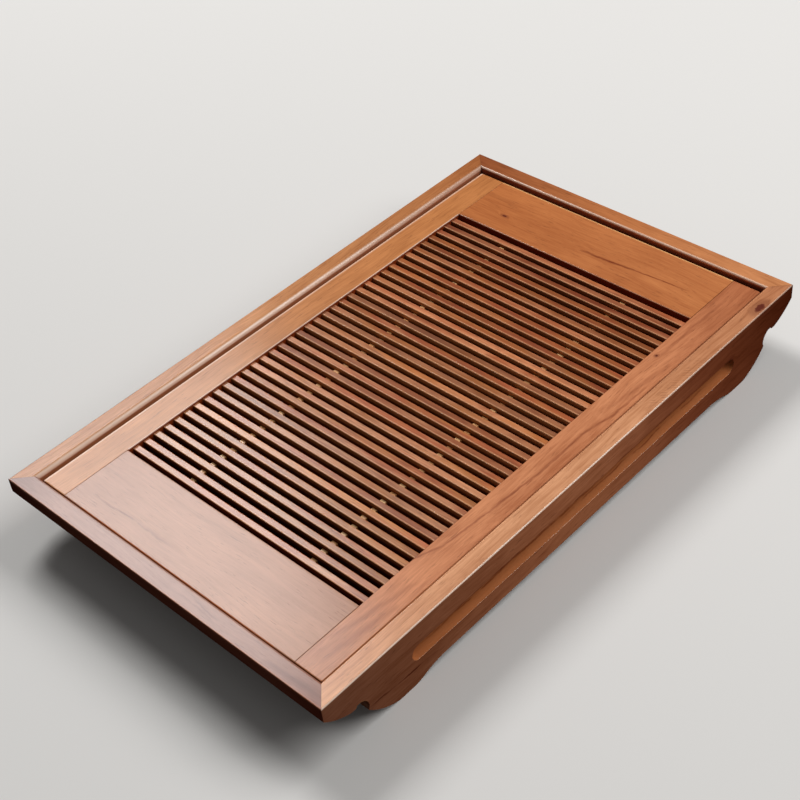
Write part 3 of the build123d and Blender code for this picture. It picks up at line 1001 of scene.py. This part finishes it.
class TEATRAY_OT_water_tray(Step, bpy.types.Operator):
    """Build the loose moulded water tray"""
    bl_idname = "teatray.water_tray"
    bl_label = "Build Water Tray"

    def execute(self, context):
        sizes = context.scene.tea_tray_sizes
        low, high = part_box("water_tray")
        span = high - low
        made = bmesh.new()
        bmesh.ops.create_cube(made, size=1.0)
        bmesh.ops.scale(made, vec=(span.x, span.y, sizes.wall), verts=made.verts)
        bmesh.ops.translate(made, vec=(0.0, 0.0, high.z - sizes.wall / 2), verts=made.verts)
        upright = [edge for edge in made.edges
                   if abs(edge.verts[0].co.z - edge.verts[1].co.z) > sizes.wall / 2]
        round_off(made, upright, sizes.corner, sizes.corner_segments)
        under = self.push(made, -1.0, sizes.flange, span.z - sizes.wall)
        inside = self.push(made, 1.0, sizes.flange + sizes.wall, span.z - sizes.wall)
        round_off(made, under.edges, sizes.foot, 4)
        round_off(made, inside.edges, sizes.foot - sizes.wall / 2, 4)
        bmesh.ops.recalc_face_normals(made, faces=made.faces)
        lip = [edge for edge in made.edges if edge.calc_face_angle(0.0) > 1.0
               and all(abs(vertex.co.z - high.z) < MM / 100 for vertex in edge.verts)]
        round_off(made, lip, sizes.lip, 2)
        black = plastic("tray_plastic_black", context.scene.tea_tray_colours.plastic)
        piece = to_object(made, "water_tray_moulded", black)
        stand_in(piece, "liner", "tray_plastic", "water_tray")
        smooth_by_angle(piece, SMOOTH_BELOW)
        return {"FINISHED"}

    def push(self, made, facing, inset, depth):
        """Inset the flat face that looks up or down, then push it down by a depth."""
        face = max(made.faces, key=lambda one: (round(one.normal.z * facing, 3), one.calc_area()))
        bmesh.ops.inset_region(made, faces=[face], thickness=inset, use_even_offset=True)
        moved = bmesh.ops.extrude_discrete_faces(made, faces=[face])["faces"][0]
        bmesh.ops.translate(made, vec=(0.0, 0.0, -depth), verts=moved.verts)
        return moved


class TEATRAY_OT_stage(Step, bpy.types.Operator):
    """Set the pale floor, the soft light and the camera"""
    bl_idname = "teatray.stage"
    bl_label = "Set Stage"

    def execute(self, context):
        scene, stage = context.scene, context.scene.tea_tray_stage
        self.floor(stage)
        self.sky(scene, stage)
        self.soft_light("soft_key", "key", stage)
        self.soft_light("front_fill", "fill", stage)
        camera = bpy.data.cameras.new("photo_camera")
        camera.lens = stage.camera_lens
        holder = bpy.data.objects.new("photo_camera", camera)
        holder.location = stage.camera_place
        holder.rotation_euler = stage.camera_turn
        scene.collection.objects.link(holder)
        scene.camera = holder
        scene.view_settings.view_transform = "Standard"
        return {"FINISHED"}

    def floor(self, stage):
        """A large flat floor that looks paler to the camera than it lights the tray, and goes
        over into the background far from it."""
        made, shader, coords = new_material("stage_floor")
        here = coords.Object
        rays = add(here.tree, "LightPath", {})
        direct = calc("MAXIMUM", rays["Is Camera Ray"], rays["Is Glossy Ray"])
        seen = calc("MAXIMUM", direct, rays["Is Transmission Ray"])
        away = ramp(here.length(), stage.fade_start, stage.fade_end) * seen
        lit = blend(seen, stage.floor_bounce, stage.floor_seen)
        feed(shader["Base Color"], blend(away, lit, BLACK))
        feed(shader["Emission Color"], blend(away, BLACK, stage.sky))
        feed(shader["Emission Strength"], 1.0)
        feed(shader["Roughness"], 0.9)
        feed(shader["Specular IOR Level"], 0.0)
        shape = bmesh.new()
        bmesh.ops.create_grid(shape, x_segments=4, y_segments=4, size=stage.floor_size / 2)
        bmesh.ops.translate(shape, vec=(0.0, 0.0, -FLOOR_DROP), verts=shape.verts)
        floor = to_object(shape, "floor", made)

    def sky(self, scene, stage):
        """Even light from all round, and the pale background behind the floor."""
        scene.world = bpy.data.worlds.new("soft_sky")
        scene.world.use_nodes = True
        tree = scene.world.node_tree
        tree.nodes.clear()
        fill, show = (add(tree, "Background", {"Color": stage.sky, "Strength": share})
                      for share in (stage.sky_fill, 1.0))
        rays = add(tree, "LightPath", {})
        mixed = add(tree, "MixShader", {0: rays["Is Camera Ray"], 1: fill[0], 2: show[0]})
        add(tree, "OutputWorld", {"Surface": mixed[0]})

    def soft_light(self, name, prefix, stage):
        """A rectangular light that faces the tray from a compass direction."""
        azimuth, height, roll, distance, width, depth, watts = (
            getattr(stage, f"{prefix}_{part}")
            for part in ("azimuth", "height", "roll", "distance", "width", "depth", "power"))
        light = bpy.data.lights.new(name, "AREA")
        light.shape = "RECTANGLE"
        light.size, light.size_y = width, depth
        light.energy = watts
        way = Vector((math.sin(azimuth) * math.cos(height), math.cos(azimuth) * math.cos(height),
                      math.sin(height)))
        holder = bpy.data.objects.new(name, light)
        holder.location = way * distance
        facing = way.to_track_quat("Z", "Y") @ Quaternion((0.0, 0.0, 1.0), roll)
        holder.rotation_euler = facing.to_euler()
        bpy.context.scene.collection.objects.link(holder)


# -------------------- add-on

STORES = {"tea_tray_sizes": TEATRAY_PG_sizes, "tea_tray_colours": TEATRAY_PG_colours,
          "tea_tray_stage": TEATRAY_PG_stage}
STEPS = (TEATRAY_OT_frame_boards, TEATRAY_OT_grille_boards, TEATRAY_OT_slats,
         TEATRAY_OT_spacers, TEATRAY_OT_inner_boards, TEATRAY_OT_water_tray, TEATRAY_OT_stage)


class TEATRAY_PT_panel(bpy.types.Panel):
    """Sizes, colours and steps of the tea tray"""
    bl_idname = "TEATRAY_PT_panel"
    bl_label = "Gongfu Tea Tray"
    bl_space_type = "VIEW_3D"
    bl_region_type = "UI"
    bl_category = "Tea Tray"

    def draw(self, context):
        for step in STEPS:
            self.layout.operator(step.bl_idname)
        for store in (getattr(context.scene, name) for name in STORES):
            box = self.layout.box()
            for name in store.bl_rna.properties.keys():
                if name not in {"rna_type", "name"}:
                    box.prop(store, name)


CLASSES = (*STORES.values(), *STEPS, TEATRAY_PT_panel)


def register():
    for one in CLASSES:
        bpy.utils.register_class(one)
    for name, store in STORES.items():
        setattr(bpy.types.Scene, name, PointerProperty(type=store))


def unregister():
    for name in STORES:
        delattr(bpy.types.Scene, name)
    for one in reversed(CLASSES):
        bpy.utils.unregister_class(one)


def main():
    """Register the add-on and run its steps in order."""
    register()
    for step in STEPS:
        module, name = step.bl_idname.split(".")
        getattr(getattr(bpy.ops, module), name)()


if __name__ == "__main__":
    main()
